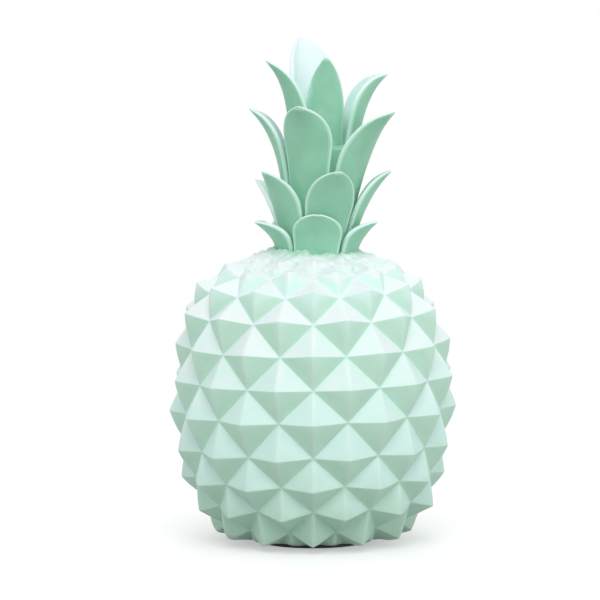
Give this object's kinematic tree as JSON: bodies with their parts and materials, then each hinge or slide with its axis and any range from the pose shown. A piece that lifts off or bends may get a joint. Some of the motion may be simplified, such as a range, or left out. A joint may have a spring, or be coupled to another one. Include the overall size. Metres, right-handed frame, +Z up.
{
  "type": "pineapple ornament",
  "caption": "Free-standing pineapple ornament with a diamond-spiked hollow body, a leaning crown of cupped pointed leaves and a felt base.",
  "frame": {"origin": "middle of the underside of the felt disc, on the surface the ornament stands on", "axes": "+Z up through the body to the crown, -Y towards the viewer of the picture, +X to the viewer's right"},
  "size_m": [0.1432, 0.1432, 0.249],
  "materials": {
    "body_paint": "matte pale mint paint on cast resin",
    "crown_paint": "matte deeper mint paint on cast resin",
    "felt": "pressed grey felt"
  },
  "bodies": {
    "root": {"body_shell": "body_paint", "felt_disc": "felt", "crown_core": "crown_paint", "leaf_1_1": "crown_paint", "leaf_1_2": "crown_paint", "leaf_1_3": "crown_paint", "leaf_1_4": "crown_paint", "leaf_1_5": "crown_paint", "leaf_2_1": "crown_paint", "leaf_2_2": "crown_paint", "leaf_2_3": "crown_paint", "leaf_2_4": "crown_paint", "leaf_2_5": "crown_paint", "leaf_3_1": "crown_paint", "leaf_3_2": "crown_paint", "leaf_3_3": "crown_paint", "leaf_3_4": "crown_paint", "leaf_3_5": "crown_paint", "leaf_4_1": "crown_paint", "leaf_4_2": "crown_paint", "leaf_4_3": "crown_paint", "leaf_5_1": "crown_paint", "leaf_5_2": "crown_paint", "leaf_6_1": "crown_paint", "leaf_6_2": "crown_paint", "leaf_6_3": "crown_paint"}
  },
  "joints": []
}
